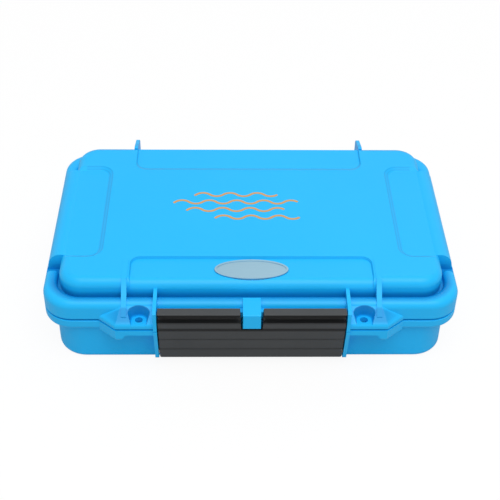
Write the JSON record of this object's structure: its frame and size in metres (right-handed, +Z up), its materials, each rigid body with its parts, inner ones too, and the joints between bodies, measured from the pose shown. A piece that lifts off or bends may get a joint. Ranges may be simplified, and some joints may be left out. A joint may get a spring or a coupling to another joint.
{
  "type": "fly box",
  "caption": "Flat hinged waterproof case with a full-width snap latch, padlock lugs and slit foam rows inside.",
  "frame": {"origin": "centre of the closed box's footprint, on the surface it rests on", "axes": "+X along the length, towards the right end seen from the latch; +Y from the latch to the hinge; +Z up"},
  "size_m": [0.206, 0.146, 0.0473],
  "materials": {
    "shell_blue": "moulded blue plastic with a soft sheen",
    "latch_black": "smooth charcoal plastic",
    "badge_silver": "brushed silver",
    "gasket_rubber": "matt black",
    "pin_steel": "drawn steel",
    "foam_mat": "closed-cell foam sheet, grey",
    "print_orange": "screen-printed orange ink on the lid",
    "foam_strip": "closed-cell foam, pale grey"
  },
  "bodies": {
    "base": {"base_shell": "shell_blue", "gasket": "gasket_rubber", "hinge_pin": "pin_steel", "latch_pin": "pin_steel", "base_foam_mat": "foam_mat", "base_foam_strip_01": "foam_strip", "base_foam_strip_02": "foam_strip", "base_foam_strip_03": "foam_strip", "base_foam_strip_04": "foam_strip", "base_foam_strip_05": "foam_strip", "base_foam_strip_06": "foam_strip", "base_foam_strip_07": "foam_strip", "base_foam_strip_08": "foam_strip", "base_foam_strip_09": "foam_strip"},
    "lid": {"lid_shell": "shell_blue", "badge_plate": "badge_silver", "lid_foam_mat": "foam_mat", "lid_foam_strip_01": "foam_strip", "lid_foam_strip_02": "foam_strip", "lid_foam_strip_03": "foam_strip", "lid_foam_strip_04": "foam_strip", "lid_foam_strip_05": "foam_strip", "lid_foam_strip_06": "foam_strip", "lid_foam_strip_07": "foam_strip", "lid_foam_strip_08": "foam_strip"},
    "latch": {"latch": "latch_black"}
  },
  "joints": [
    {"name": "lid_hinge", "type": "hinge", "parent": "base", "child": "lid", "pos_m": [0, 0.069, 0.0285], "axis": [-1, 0, 0], "range_deg": [0, 180]},
    {"name": "latch_swing", "type": "hinge", "parent": "base", "child": "latch", "pos_m": [0, -0.0642, 0.0079], "axis": [1, 0, 0], "range_deg": [0, 80]}
  ]
}
